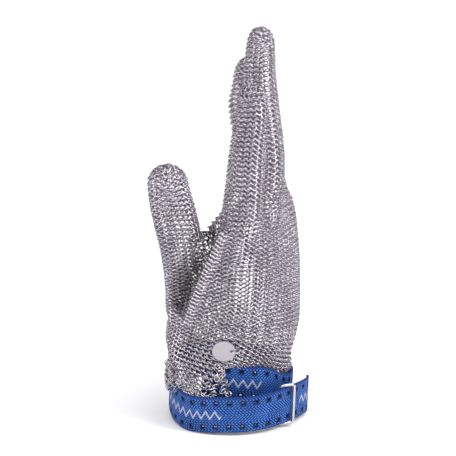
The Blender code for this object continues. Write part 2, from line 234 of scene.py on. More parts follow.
strap = {
    "width": 0.0216,
    "thickness": 0.0014,
    "middle": (0.0, -0.0003),
    "halfSizes": (0.0385, 0.0355),
    "plane": (0.0063, 0.2, 0.1),  # the cuff plane's height at the middle, and its rise to +X and +Y
    "eyelet": 0.0022,         # across the painted shade round each eyelet
    "eyeletHole": 0.0014,     # across the hole left open in it
    "eyeletPitch": 0.0073,
    "eyeletFromEdge": 0.0035,
    "gridStep": 0.0013,       # length of the band's faces
    "edgeRound": 0.0003,
    "ribPitch": 0.0018,       # from one woven rib to the next
    "ribDepth": 0.00022,
    "ribsPerColumn": 2.5,     # ribs across one column of the herringbone
    "threadPitch": 0.00144,   # from one thread across a rib to the next
    "zigzag": 0.0052,         # length of one swing of the woven zigzag
    "zigzagSlope": 1.7,
    "zigzagEdges": (0.0006, 0.0011),   # its line is full up to the first and gone at the second
    "zigzagRepeat": 0.098,    # from where one stretch of zigzag starts to the next
    "zigzagStart": 0.9,       # where the first stretch starts, as an angle
    "zigzagColour": (0.58, 0.56, 0.66, 1.0),
    "blues": [
        (0.0, (0.002, 0.006, 0.035)),
        (0.3, (0.005, 0.028, 0.16)),
        (0.6, (0.013, 0.075, 0.33)),
        (1.0, (0.09, 0.32, 0.80)),
    ],
    # angle round the wrist, distance outside the ellipse, height over the plane
    "route": [
        (160.0, -0.0066, 0.0146),
        (195.0, -0.0064, 0.0146),
        (230.0, -0.0056, 0.0112),
        (257.0, -0.0056, 0.0022),
        (288.0, -0.0060, -0.0040),
        (330.0, -0.0060, -0.0060),
        (378.0, -0.0045, -0.0060),
        (430.0, -0.0012, -0.0036),
        (462.0, 0.0005, -0.0032),
        (484.0, 0.0009, -0.0054),
        (500.0, 0.0012, -0.0055),
        (515.0, 0.0015, -0.0046),
        (530.0, 0.0015, -0.0023),
        (546.0, 0.0011, -0.0004),
        (570.0, 0.0006, 0.0002),
        (600.0, 0.0002, -0.0005),
        (616.0, 0.0002, -0.0018),
        (626.0, 0.0012, -0.0030),
        (637.0, 0.0022, -0.0050),
        (645.0, 0.0026, -0.0070),
        (651.0, 0.0026, -0.0080),
    ],
}


def smoothRow(table, at):
    # the table's row at this first-column value, on a smooth curve through its rows
    at = min(max(at, table[0][0]), table[-1][0])
    after = next(i for i, row in enumerate(table) if row[0] >= at and i > 0)
    low, high = table[after - 1], table[after]
    before, beyond = table[max(after - 2, 0)], table[min(after + 1, len(table) - 1)]
    span = high[0] - low[0]
    t = (at - low[0]) / span
    found = []
    for column in range(1, len(low)):
        leaving = (high[column] - before[column]) / (high[0] - before[0]) * span
        arriving = (beyond[column] - low[column]) / (beyond[0] - low[0]) * span
        found.append(
            (2 * t**3 - 3 * t**2 + 1) * low[column] + (t**3 - 2 * t**2 + t) * leaving
            + (3 * t**2 - 2 * t**3) * high[column] + (t**3 - t**2) * arriving
        )
    return found


def strapAt(degrees):
    # the band's middle and the way its face looks, at this angle round the wrist
    offset, lift = smoothRow(strap["route"], degrees)
    halfX, halfY = strap["halfSizes"]
    height, riseX, riseY = strap["plane"]
    turn = math.radians(degrees)
    x = strap["middle"][0] + math.cos(turn) * (halfX + offset)
    y = strap["middle"][1] + math.sin(turn) * (halfY + offset)
    up = Vector((-riseX, -riseY, 1.0)).normalized()
    out = Vector((math.cos(turn) / halfX, math.sin(turn) / halfY, 0.0)).normalized()
    out = (out - up * out.dot(up)).normalized()
    return Vector((x, y, height + riseX * x + riseY * y + lift)), out, up


def strapLengths():
    # the angle at every half degree, and how much band lies before it
    first, last = strap["route"][0][0], strap["route"][-1][0]
    angles = np.arange(first, last + 0.25, 0.5)
    middles = np.array([strapAt(angle)[0] for angle in angles])
    steps = np.linalg.norm(np.diff(middles, axis=0), axis=1)
    return angles, np.concatenate([[0.0], np.cumsum(steps)])


def layFlatBand(total):
    # the band as it is cut: a flat grid with a row of eyelets near each edge
    pitch = strap["eyeletPitch"]
    count = int((total - pitch) / pitch)
    first = (total - (count - 1) * pitch) / 2
    half = strap["eyeletHole"] / 2
    stops = [0.0]
    for i in range(count):
        middle = first + i * pitch
        stops += [middle - half, middle + half]
    stops.append(total)
    alongs = [0.0]
    for low, high in zip(stops, stops[1:]):
        pieces = max(1, round((high - low) / strap["gridStep"]))
        alongs += [low + (high - low) * (i + 1) / pieces for i in range(pieces)]
    edge = strap["width"] / 2
    eyelet = edge - strap["eyeletFromEdge"]
    heights = [-edge, -eyelet - half, -eyelet, -eyelet + half, -eyelet / 2, 0.0]
    heights += [-height for height in reversed(heights[:-1])]
    bpy.ops.object.select_all(action="DESELECT")
    bpy.ops.mesh.primitive_grid_add(
        x_subdivisions=len(alongs) - 1, y_subdivisions=len(heights) - 1, size=1.0
    )
    band = bpy.context.object
    for vert in band.data.vertices:
        column = round((vert.co.x + 0.5) * (len(alongs) - 1))
        row = round((vert.co.y + 0.5) * (len(heights) - 1))
        vert.co = (alongs[column], heights[row], 0.0)
    # the pattern follows the band laid flat
    flat = band.data.uv_layers[0]
    flat.name = "flatBand"
    for loop in band.data.loops:
        flat.data[loop.index].uv = band.data.vertices[loop.vertex_index].co.xy

    def isEyelet(place, normal):
        step = (place.x - first) / pitch
        inRow = abs(abs(place.y) - eyelet) < half and -0.5 < step < count - 0.5
        return inRow and abs(step - round(step)) * pitch < half

    pickParts(band, "FACE", isEyelet)
    bpy.ops.mesh.delete(type="FACE")
    bpy.ops.object.mode_set(mode="OBJECT")
    return band, count, first


def strapMaterial(firstEyelet):
    made, tree, shader = newMaterial("wovenBlue", {"Roughness": 0.7, "Specular IOR Level": 0.25})
    flat = addNode(tree, "ShaderNodeUVMap", {"uv_map": "flatBand"})
    parts = addNode(tree, "ShaderNodeSeparateXYZ", {}, [flat])
    along = Wire(tree, parts.socket)
    across = Wire(tree, parts.socket.node.outputs[1])
    pitch = strap["ribPitch"]
    # herringbone: ribs lean one way and then the other from column to column
    swing = across.math("PINGPONG", pitch * strap["ribsPerColumn"])
    rib = ((along + swing) * (2 * math.pi / pitch)).math("SINE") * 0.5 + 0.5
    thread = (across * (2 * math.pi / strap["threadPitch"])).math("SINE") * 0.5 + 0.5
    place = objectPlace(tree)
    worn = noiseAt(tree, place, 90.0)
    fuzz = noiseAt(tree, place, 1400.0, 4.0)
    height = rib * 0.6 + rib * thread * 0.4
    # painted shade: the weave is painted dark round each eyelet, as in the shade of a hole
    edge = strap["width"] / 2 - strap["eyeletFromEdge"]
    fromRow = (across.math("ABSOLUTE") - edge).math("ABSOLUTE")
    step = strap["eyeletPitch"]
    # a hundred steps more, as the remainder has to be of a number over 0
    fromHole = (along - firstEyelet + step * 100.5).math("MODULO", step) - step / 2
    fromEyelet = fromRow.math("MAXIMUM", fromHole.math("ABSOLUTE"))
    paintedEyeletShadeAndWireStretch = 1.0 - fromEyelet.between(strap["eyelet"] * 0.5, strap["eyelet"] * 0.85)
    selvage = across.math("ABSOLUTE").between(strap["width"] * 0.44, strap["width"] * 0.5)
    # the woven zigzag lies along the middle of the band for a stretch, then leaves it plain
    wave = (along.math("PINGPONG", strap["zigzag"] / 2) - strap["zigzag"] / 4) * strap["zigzagSlope"]
    line = (across - wave).math("ABSOLUTE")
    turn = along * (2 * math.pi / strap["zigzagRepeat"]) + strap["zigzagStart"]
    motif = turn.math("SINE").between(0.05, 0.12) * (1.0 - line.between(*strap["zigzagEdges"]))
    # the raised ribs are painted lighter and the hollows between them darker, a painted highlight and
    # painted shade on the weave's relief; worn and fuzz vary the tone at random
    shade = height * 0.8 + worn * 0.3 + fuzz * 0.5 - 0.27
    shade = shade * (1.0 - paintedEyeletShadeAndWireStretch * 0.85) * (1.0 - selvage * 0.4)
    blue = addNode(tree, "ShaderNodeValToRGB", {"stops": strap["blues"]}, [shade])
    colour = mixColours(tree, motif * (height * 0.5 + 0.5), blue, strap["zigzagColour"])
    feed(shader, "Base Color", colour)
    feed(shader, "Roughness", 0.75 - height * 0.2)
    feed(shader, "Normal", bumpOf(tree, height + fuzz * 0.25, strap["ribDepth"], 0.8))
    return made


def buildStrap():
    angles, lengths = strapLengths()
    band, count, firstEyelet = layFlatBand(lengths[-1])
    print("strap: %.0f mm long, %d pairs of eyelets" % (lengths[-1] * 1000, count))
    for vert in band.data.vertices:
        middle, out, up = strapAt(float(np.interp(vert.co.x, lengths, angles)))
        vert.co = middle + up * vert.co.y
    band.name = "wovenStrap"
    addModifier(band, "SOLIDIFY", thickness=strap["thickness"], offset=0.0, use_even_offset=True)
    addModifier(
        band, "BEVEL", width=strap["edgeRound"], segments=2, limit_method="ANGLE",
        angle_limit=math.radians(50),
    )
    applyModifiers(band)
    editAll(band, lambda: bpy.ops.mesh.normals_make_consistent(inside=False))
    band.data.shade_smooth()
    finishPiece(band, "strap", strapMaterial(firstEyelet))


mail = {
    "grid": 0.0010,          # voxel that joins the sleeves into one skin
    "smoothing": 4,          # times that the joined skin is smoothed
    "rimSmoothing": 6,       # and its hem and slit again, once they are cut
    "columnPitch": 0.0038,   # between columns of rings that lean the same way
    # height over the wrist, pitch from ring to ring along a finger, degrees out of the surface
    "rows": [
        (0.020, 0.0026, 43.0),
        (0.060, 0.0025, 43.0),
        (0.085, 0.0027, 38.0),
        (0.110, 0.0029, 35.0),
        (0.200, 0.0030, 34.0),
    ],
    "heightSpan": (-0.02, 0.22, 241),   # lowest and highest place stretched, and in how many rows
    "cellShare": 1.12,       # more cells asked for than the pitch gives, as the remesh makes fewer
    "ringRadius": 0.0016,
    "wireRadius": 0.00034,
    "weldSwell": 1.3,        # how much thicker the wire is at its weld
    "leanScatter": 5.0,
    "twistScatter": 4.0,
    "depth": 0.0011,         # the rings' middles lie this far under the sleeve's outer face
    "slack": 0.0004,         # the skin keeps what is no further than this outside the solid mail
    "stray": 0.0014,         # rings further than this outside the solid mail are left out
    "searched": 0.01,        # how far round a place the solid mail is looked for
    "cuffTop": 0.043,        # the hem and the slit lie below this
    "curl": 0.75,            # there, a ring that looks outwards less than this cosine is turned back
    "turnedIn": 0.3,         # and a face of the skin that does so less than this one is cut off
    "plugFoot": -0.016,      # the plug that shuts the cuff's mouth while the skin is joined
    "plugTop": 0.030,
    "plugSides": 96,
    "plugCuts": 45,
    "axis": (0.0, 0.001),    # the line up through the wrist opening, in x and y
    "reach": 0.06,           # from that line out past the wall
    # the hem by the strap's outer turn: angle round the wrist, how far it hangs below the
    # strap's upper edge, how far its wall's middle is outside the strap's own middle, and how
    # far above the strap's upper edge that stretch of wall starts, which is up the slit's side
    "hem": [
        (20.0, -0.0010, 0.0022, 0.003),
        (60.0, 0.0045, 0.0022, 0.003),
        (90.0, 0.0085, 0.0022, 0.003),
        (112.0, 0.0090, 0.0022, 0.003),
        (124.0, 0.0052, 0.0022, 0.003),
        (130.0, 0.0030, 0.0022, 0.003),
        (136.0, 0.0010, 0.0018, 0.003),
        (141.0, -0.0006, 0.0008, 0.003),
        (146.0, -0.0010, -0.0010, 0.003),
        (150.0, 0.0006, -0.0020, 0.003),
        (156.0, 0.0022, -0.0024, 0.003),
        (176.0, 0.0022, -0.0024, 0.004),
        (178.5, 0.0022, -0.0024, 0.011),
        (181.5, 0.0022, -0.0024, 0.015),
        (184.5, 0.0022, -0.0024, 0.013),
        (187.5, 0.0022, -0.0024, 0.009),
        (190.0, 0.0022, -0.0024, 0.005),
        (191.5, 0.0022, -0.0024, 0.003),
    ],
    "hemCells": (86, 14),
    "hemTop": 0.003,         # over the strap's edge, where the hem starts to leave the wall
    "hemLeaves": 0.0032,     # and how far down it has left it
    "wireSides": 4,
    "ringSides": 12,
    "seed": 2,
    "heelFoot": 0.036,       # where the rings round the hand are split into pieces
    "heelTop": 0.062,
    "pieces": ["cuff", "heel", "palm", "back", "thumb", "index", "middle", "ring", "little"],
    # the folded edge of the palm's panel: share of its length, then its place
    "foldRoute": [
        (0.0, -0.0369, -0.0025, 0.1010),
        (0.2, -0.0380, 0.0015, 0.0915),
        (0.4, -0.0385, 0.0058, 0.0810),
        (0.6, -0.0381, 0.0107, 0.0700),
        (0.8, -0.0376, 0.0155, 0.0570),
        (1.0, -0.0369, 0.0184, 0.0480),
    ],
    "foldSteps": 201,
    "foldAbove": 0.02,       # the route is laid on the sleeve from this far outside it
    "foldOut": (-0.85, -0.50, 0.15),   # the way that the sleeve's face looks along it
    "foldDepth": 0.008,      # the skin further than this from the fold, in or out, isn't moved
    "foldWidth": 0.010,      # nor past this to its sides
    "foldFade": 30.0,        # steps over which the ridge and the groove die away at both ends
    # its rings are stacked in lines: distance past the fold, height over the sleeve
    "foldLines": [(-0.0004, 0.0012), (-0.0021, 0.0017), (-0.0038, 0.0015), (-0.0055, 0.0008)],
    "foldPitch": 0.0011,
    "foldLean": 72.0,
    "ridge": (0.0010, -0.0022, 0.0026),   # height, distance past the fold, half width
    "groove": (-0.0024, 0.0026, 0.0016),  # the dip beside it, on the thumb's side
    # painted shade on the rings by the fold: distance from the fold to the thumb's side, how dark it is
    # painted
    "paintedShading": [(0.0, 0.0), (0.0012, 0.95), (0.0042, 0.90), (0.0058, 0.50), (0.0100, 0.42), (0.0145, 0.0)],
    "paintedShadeDepth": 0.012,      # rings further in or out than this get no painted shade
    "paintedShadeFade": 12.0,        # steps over which the painted shade dies away at both ends
    "foldPaintedHighlight": 0.9,        # painted highlight: how much lighter than the rest the folded edge's rings are painted
    "greySteel": (0.38, 0.355, 0.39, 1.0),
    "brightSteel": (0.62, 0.58, 0.64, 1.0),
    # near-black colour of the painted shade in and beside the groove
    "paintedShadeSteel": (0.075, 0.068, 0.075, 1.0),
}


def unit(rows):
    length = np.linalg.norm(rows, axis=-1, keepdims=True)
    return rows / np.maximum(length, 1e-12)


def foldRoute(solid):
    # places along the folded edge on the sleeve, the way it runs, and the way its face looks
    out = Vector(mail["foldOut"]).normalized()
    shares = np.linspace(0.0, 1.0, mail["foldSteps"])
    guides = [Vector(smoothRow(mail["foldRoute"], share)) for share in shares]
    above = mail["foldAbove"]
    places = np.array([solid.ray_cast(place + out * above, -out, above * 2)[0] for place in guides])
    alongs = unit(np.gradient(places, axis=0))
    outs = np.tile(out, (len(places), 1))
    outs = unit(outs - alongs * np.sum(outs * alongs, axis=1, keepdims=True))
    return places, alongs, outs


def foldSkin(skin, solid):
    # the palm's panel ends in a low ridge, with a groove between it and the thumb's side
    places, alongs, outs = foldRoute(solid)
    for vert in skin.data.vertices:
        away = np.array(vert.co) - places
        nearest = int(np.argmin(np.sum(away * away, axis=1)))
        away, out = away[nearest], outs[nearest]
        beside = away @ np.cross(alongs[nearest], out)
        if abs(away @ out) > mail["foldDepth"] or abs(beside) > mail["foldWidth"]:
            continue
        fade = min(1.0, nearest / mail["foldFade"], (len(places) - 1 - nearest) / mail["foldFade"])
        lift = sum(
            height * math.exp(-(((beside - middle) / half) ** 2))
            for height, middle, half in (mail["ridge"], mail["groove"])
        )
        vert.co += Vector(out) * lift * fade


def wallAt(solid, turn, height):
    # the middle of the cuff's wall at this angle, no lower than this height
    side = Vector((math.cos(turn), math.sin(turn), 0.0))
    hit = None
    while hit is None:
        hit = solid.ray_cast(Vector((*mail["axis"], height)), side, mail["reach"])[0]
        height += 0.001
    return hit + side * mail["depth"]


def fitPlug(solid):
    # a closed plug whose side runs inside the cuff's wall, so that the joined skin has one outer face
    bpy.ops.object.select_all(action="DESELECT")
    bpy.ops.mesh.primitive_cylinder_add(
        vertices=mail["plugSides"], radius=1.0, depth=mail["plugTop"] - mail["plugFoot"],
        location=(0.0, 0.0, (mail["plugTop"] + mail["plugFoot"]) / 2), end_fill_type="TRIFAN",
    )
    plug = bpy.context.object
    applyPlace(plug)
    pickParts(plug, "FACE", lambda place, normal: abs(normal.z) < 0.5)
    bpy.ops.mesh.subdivide(number_cuts=mail["plugCuts"])
    bpy.ops.object.mode_set(mode="OBJECT")
    for vert in plug.data.vertices:
        if vert.co.xy.length < 0.5:
            vert.co.xy = mail["axis"]
        else:
            vert.co.xy = wallAt(solid, math.atan2(vert.co.y, vert.co.x), vert.co.z).xy
    return plug


def hangHem(solid):
    # the stretch of hem that hangs over the strap or goes in behind it, as a wall as thick as
    # the solid mail's
    first, last = mail["hem"][0][0], mail["hem"][-1][0]
    bpy.ops.object.select_all(action="DESELECT")
    columns, rows = mail["hemCells"]
    bpy.ops.mesh.primitive_grid_add(x_subdivisions=columns, y_subdivisions=rows, size=1.0)
    hem = bpy.context.object
    for vert in hem.data.vertices:
        turn = first + (vert.co.x + 0.5) * (last - first)
        share = 0.5 - vert.co.y
        middle, out, up = strapAt(turn + 360.0)
        drop, offset, rise = smoothRow(mail["hem"], turn)
        edge = middle + up * strap["width"] / 2
        height = edge + up * (rise - (rise + drop) * share)
        inner = wallAt(solid, math.radians(turn), height.z)
        # the wall leaves the solid mail's own just above the strap and is past its edge below it
        below = mail["hemTop"] - (height - edge).dot(up)
        near = min(1.0, max(0.0, below / mail["hemLeaves"]))
        place = inner.lerp(middle + out * offset, near * near * (3.0 - 2.0 * near))
        vert.co = place + up * (height - place).dot(up)
    addModifier(hem, "SOLIDIFY", thickness=mail["depth"] * 2, offset=0.0)
    applyModifiers(hem)
    editAll(hem, lambda: bpy.ops.mesh.normals_make_consistent(inside=False))
    return hem


def joinedSkin(solid, hem):
    # one closed skin round the outside of all the sleeves, with the cuff's mouth shut for now
    copies = [copyOf(name, name + "Copy") for name in sleeveNames]
    plug = fitPlug(solid)
    pickOnly(plug, hem, *copies)
    bpy.ops.object.join()
    skin = bpy.context.object
    skin.name = "mailSkin"
    skin.data.remesh_voxel_size = mail["grid"]
    bpy.ops.object.voxel_remesh()
    keepTopIsland(skin)
    editAll(skin, lambda: bpy.ops.mesh.vertices_smooth(factor=0.5, repeat=mail["smoothing"]))
    foldSkin(skin, solid)
    return skin


def keepTopIsland(skin):
    highest = max(vert.co.z for vert in skin.data.vertices)
    pickParts(skin, "VERT", lambda place, normal: place.z > highest - 1e-6)
    bpy.ops.mesh.select_linked()
    bpy.ops.mesh.select_all(action="INVERT")
    bpy.ops.mesh.delete(type="VERT")
    bpy.ops.object.mode_set(mode="OBJECT")


def solidMail(hem):
    # what the rings have to lie in: the solid sleeves and the hanging hem
    verts, faces, owners = [], [], []
    for name in sleeveNames + ["hem"]:
        mesh = hem.data if name == "hem" else nodes[name].data
        base = len(verts)
        verts += [vert.co[:] for vert in mesh.vertices]
        faces += [[base + i for i in face.vertices] for face in mesh.polygons]
        owners += ["hand_mail" if name == "hem" else name] * len(mesh.polygons)
    return BVHTree.FromPolygons(verts, faces), owners


def isOverMail(solid, place, out):
    middle = place - out * mail["depth"]
    near, normal, face, distance = solid.find_nearest(middle, mail["searched"])
    return near is not None and ((middle - near).dot(normal) < 0.0 or distance < mail["slack"])


def cutToMail(skin, solid):
    # leaves only what lies over the solid mail, so the skin's rims are the mail's hem and slit
    def isBare(place, normal):
        if place.z > mail["cuffTop"]:
            return False
        outwards = Vector((place.x - mail["axis"][0], place.y - mail["axis"][1], 0.0)).normalized()
        turnedIn = normal.dot(outwards) < mail["turnedIn"]
        return turnedIn or not isOverMail(solid, place, normal)

    pickParts(skin, "FACE", isBare)
    bpy.ops.mesh.delete(type="FACE")
    bpy.ops.object.mode_set(mode="OBJECT")
    keepTopIsland(skin)
    bpy.ops.object.mode_set(mode="EDIT")
    bpy.ops.mesh.select_mode(type="VERT")
    bpy.ops.mesh.select_all(action="DESELECT")
    bpy.ops.mesh.select_non_manifold()
    bpy.ops.mesh.vertices_smooth(factor=0.5, repeat=mail["rimSmoothing"])
    bpy.ops.object.mode_set(mode="OBJECT")


def moveHeights(piece, before, after):
    # each vertex goes from its height in one column to the same place in the other
    for vert in piece.data.vertices:
        vert.co.z = float(np.interp(vert.co.z, before, after))


def ruleIntoCells(skin):
    # quads one ring pitch high and one column wide; heights are stretched so that such a cell is
    # square, and the remesh takes edges under a tenth of a unit for nothing, so all is enlarged
    enlarged = 1000.0
    heights = np.linspace(*mail["heightSpan"])
    pitches = np.interp(heights, [row[0] for row in mail["rows"]], [row[1] for row in mail["rows"]])
    steps = np.diff(heights) * mail["columnPitch"] / ((pitches[1:] + pitches[:-1]) / 2)
    stretched = np.concatenate([[0.0], np.cumsum(steps)])
    moveHeights(skin, heights, stretched)
    skin.scale = (enlarged,) * 3
    applyPlace(skin)
    wanted = sum(face.area for face in skin.data.polygons) / (mail["columnPitch"] * enlarged) ** 2
    pickOnly(skin)
    bpy.ops.object.quadriflow_remesh(
        mode="FACES", target_faces=int(mail["cellShare"] * wanted), seed=mail["seed"],
        use_preserve_sharp=False, use_preserve_boundary=True, use_mesh_symmetry=False,
    )
    print("mail: ruled into %d cells of the %d wanted" % (len(skin.data.polygons), wanted))
    skin.scale = (1.0 / enlarged,) * 3
    applyPlace(skin)
    moveHeights(skin, stretched, heights)


def rowDirections(corners, quads):
    # for each quad, the lattice direction that its columns of rings run in, the same way
    # round as its neighbours wherever the cells allow it
    alongs = np.stack([
        (corners[:, 1] - corners[:, 0]) + (corners[:, 2] - corners[:, 3]),
        (corners[:, 2] - corners[:, 1]) + (corners[:, 3] - corners[:, 0]),
    ], axis=1)
    alongs = unit(alongs)
    steep = np.abs(alongs[:, :, 2])
    sides = {}
    for index, quad in enumerate(quads):
        for side in range(4):
            key = tuple(sorted((quad[side], quad[(side + 1) % 4])))
            sides.setdefault(key, []).append((index, side))
    chosen = np.full(len(quads), -1)
    found = np.zeros((len(quads), 3))
    start = int(np.argmax(np.max(steep, axis=1)))
    waiting = [(0.0, start, int(np.argmax(steep[start])), (0.0, 0.0, 1.0))]
    while waiting:
        cost, index, axis, before = heapq.heappop(waiting)
        if chosen[index] >= 0:
            continue
        chosen[index] = axis
        along = alongs[index, axis]
        if along @ np.array(before) < 0.0:
            along = -along
        found[index] = along
        for side in range(4):
            key = tuple(sorted((quads[index][side], quads[index][(side + 1) % 4])))
            for other, otherSide in sides[key]:
                if other == index or chosen[other] >= 0:
                    continue
                # side 0 or 2 runs along axis 0, side 1 or 3 along axis 1
                parallel = (side % 2) == axis
                otherAxis = otherSide % 2 if parallel else 1 - otherSide % 2
                heapq.heappush(waiting, (1.0 - steep[other, otherAxis], other, otherAxis, tuple(along)))
    return found


def ringPlaces(skin):
    # one ring at each corner of the cells and one, leaning the other way, in the middle of each
    mesh = skin.data
    points = np.array([vert.co[:] for vert in mesh.vertices])
    normals = np.array([vert.normal[:] for vert in mesh.vertices])
    quads = [tuple(face.vertices) for face in mesh.polygons if len(face.vertices) == 4]
    corners = points[np.array(quads)]
    quadAlongs = rowDirections(corners, quads)
    vertAlongs = np.zeros_like(points)
    for quad, along in zip(quads, quadAlongs):
        for corner in quad:
            flip = -1.0 if vertAlongs[corner] @ along < 0.0 else 1.0
            vertAlongs[corner] += along * flip
    quadNormals = unit(normals[np.array(quads)].sum(axis=1))
    places = np.vstack([points, corners.mean(axis=1)])
    outs = np.vstack([normals, quadNormals])
    # at the hem and the slit a cell can curl over, so there the rings look straight outwards
    outwards = unit((places - (*mail["axis"], 0.0)) * (1.0, 1.0, 0.0))
    curled = (places[:, 2] < mail["cuffTop"]) & (np.sum(outs * outwards, axis=1) < mail["curl"])
    outs[curled] = outwards[curled]
    alongs = np.vstack([unit(vertAlongs), quadAlongs])
    alongs = unit(alongs - outs * np.sum(alongs * outs, axis=1, keepdims=True))
    leans = np.interp(places[:, 2], [row[0] for row in mail["rows"]], [row[2] for row in mail["rows"]])
    leans[len(points):] *= -1.0
    return places - outs * mail["depth"], outs, alongs, leans


def foldPlaces(solid):
    # lines of rings stacked along the folded edge, leaning one way and the other by turns
    places, alongs, outs = foldRoute(solid)
    lengths = np.concatenate([[0.0], np.cumsum(np.linalg.norm(np.diff(places, axis=0), axis=1))])
    rows = []
    for number, (beside, height) in enumerate(mail["foldLines"]):
        first = mail["foldPitch"] * (1.0 + 0.5 * (number % 2))
        stops = np.searchsorted(lengths, np.arange(first, lengths[-1], mail["foldPitch"]))
        middles = places[stops] + np.cross(alongs[stops], outs[stops]) * beside + outs[stops] * height
        leans = np.where(np.arange(len(stops)) % 2, mail["foldLean"], 180.0 - mail["foldLean"])
        rows.append((middles, outs[stops], alongs[stops], leans))
    return [np.concatenate(column) for column in zip(*rows)]


def paintedShadeByFold(middles, solid):
    # how much painted shade each ring gets: the ones in the groove and between it and the thumb, where
    # shade falls
    places, alongs, outs = foldRoute(solid)
    away = middles[:, None, :] - places[None]
    nearest = np.argmin(np.sum(away * away, axis=2), axis=1)
    away = away[np.arange(len(middles)), nearest]
    beside = np.sum(away * np.cross(alongs, outs)[nearest], axis=1)
    over = np.abs(np.sum(away * outs[nearest], axis=1))
    ends = np.clip(np.minimum(nearest, len(places) - 1 - nearest) / mail["paintedShadeFade"], 0.0, 1.0)
    found = np.interp(beside, [row[0] for row in mail["paintedShading"]], [row[1] for row in mail["paintedShading"]])
    return found * ends * (over < mail["paintedShadeDepth"])


def modelRing():
    # one welded ring; its wire swells a little at the weld
    bpy.ops.object.select_all(action="DESELECT")
    bpy.ops.mesh.primitive_torus_add(
        major_segments=mail["ringSides"], minor_segments=mail["wireSides"],
        major_radius=mail["ringRadius"], minor_radius=mail["wireRadius"],
    )
    ring = bpy.context.object
    weld = Vector((mail["ringRadius"], 0.0, 0.0))
    pickParts(ring, "VERT", lambda place, normal: (place - weld).length < mail["wireRadius"] * 1.2)
    bpy.ops.transform.resize(value=(mail["weldSwell"],) * 3, center_override=weld)
    bpy.ops.object.mode_set(mode="OBJECT")
    return ring


def linkRings(name, ring, middles, outs, alongs, leans, paintedShading, generator):
    # all of one stretch's rings as one mesh; each leans, twists and differs a little in tone, and takes
    # the painted shade, or on the folded edge the painted highlight, that it is given
    count = len(middles)
    scatter = generator.uniform(-1.0, 1.0, (count, 4))
    template = np.array([vert.co[:] for vert in ring.data.vertices])
    templateFaces = np.array([face.vertices[:] for face in ring.data.polygons])
    angles = np.radians(leans + scatter[:, 0] * mail["leanScatter"])
    turns = np.radians(scatter[:, 1] * mail["twistScatter"]) + scatter[:, 2] * math.pi
    cosines, sines = np.cos(angles)[:, None], np.sin(angles)[:, None]
    across = np.cross(outs, alongs)
    axis = outs * cosines + alongs * sines
    upward = alongs * cosines - outs * sines
    first = across * np.cos(turns)[:, None] + upward * np.sin(turns)[:, None]
    second = np.cross(axis, first)
    verts = (
        middles[:, None, :]
        + template[None, :, 0:1] * first[:, None, :]
        + template[None, :, 1:2] * second[:, None, :]
        + template[None, :, 2:3] * axis[:, None, :]
    )
    faces = templateFaces[None] + (np.arange(count) * len(template))[:, None, None]
    mesh = bpy.data.meshes.new(name)
    mesh.from_pydata(verts.reshape(-1, 3).tolist(), [], faces.reshape(-1, 4).tolist())
    mesh.validate()
    mesh.shade_smooth()
    for attribute, values in (("ringTone", scatter[:, 3]), ("ringDull", paintedShading)):
        spread = np.repeat(values, len(template)).astype(np.float32)
        mesh.attributes.new(attribute, "FLOAT", "POINT").data.foreach_set("value", spread)
    piece = bpy.data.objects.new(name, mesh)
    bpy.context.collection.objects.link(piece)
    print("mail: %s, %d rings" % (name, count))
    return piece


def mailMaterial():
    made, tree, shader = newMaterial("ringSteel", {"Metallic": 1.0})
    place = objectPlace(tree)
    tone = addNode(tree, "ShaderNodeAttribute", {"attribute_name": "ringTone"}, out=2)
    paintedShading = addNode(tree, "ShaderNodeAttribute", {"attribute_name": "ringDull"}, out=2)
    cloud = noiseAt(tree, place, 60.0)
    grain = noiseAt(tree, place, 2600.0, 3.0)
    # painted shade darkens the rings in and beside the groove; on the folded edge's rings the value is
    # below 0 and is a painted highlight that lightens them
    share = (tone * 0.5 + 0.5) * 0.6 + cloud * 0.4 - paintedShading * 0.6
    clean = mixColours(tree, share, mail["greySteel"], mail["brightSteel"])
    feed(shader, "Base Color", mixColours(tree, paintedShading * 0.85, clean, mail["paintedShadeSteel"]))
    feed(shader, "Roughness", grain * 0.14 + 0.16)
    feed(shader, "Normal", bumpOf(tree, grain, 0.00004, 0.5))
    return made


def buildMail():
    hem = hangHem(solidMail(nodes["hand_mail"])[0])
    solid, owners = solidMail(hem)
    skin = joinedSkin(solid, hem)
    cutToMail(skin, solid)
    print("mail: skin of", len(skin.data.polygons), "faces")
    ruleIntoCells(skin)
    middles, outs, alongs, leans = ringPlaces(skin)
    regions = []
    for middle, out in zip(middles, outs):
        near, normal, face, distance = solid.find_nearest(Vector(middle))
        region = owners[face].split("_")[0]
        if region == "hand":
            region = "palm" if out[1] > 0.0 else "back"
            if middle[2] < mail["heelTop"]:
                region = "heel"
            if middle[2] < mail["heelFoot"]:
                region = "cuff"
        outside = (Vector(middle) - near).dot(normal) > 0.0
        regions.append("" if outside and distance > mail["stray"] else region)
    regions = np.array(regions)
    # painted shade for the rings in the groove and between it and the thumb
    paintedShading = paintedShadeByFold(middles, solid)
    generator = np.random.default_rng(mail["seed"])
    ring = modelRing()
    steel = mailMaterial()
    for region in mail["pieces"]:
        chosen = regions == region
        piece = linkRings(
            region + "Rings", ring, middles[chosen], outs[chosen], alongs[chosen], leans[chosen],
            paintedShading[chosen], generator,
        )
        node = region + "_mail"
        finishPiece(piece, node if node in sleeveNames else "hand_mail", steel)
    folded = foldPlaces(solid)
    # the folded edge's rings get a painted highlight, passed as painted shade below 0
    paintedHighlight = np.full(len(folded[0]), -mail["foldPaintedHighlight"])
    piece = linkRings("foldRings", ring, *folded, paintedHighlight, generator)
    finishPiece(piece, "hand_mail", steel)
    bpy.data.objects.remove(ring)
    bpy.data.objects.remove(skin)


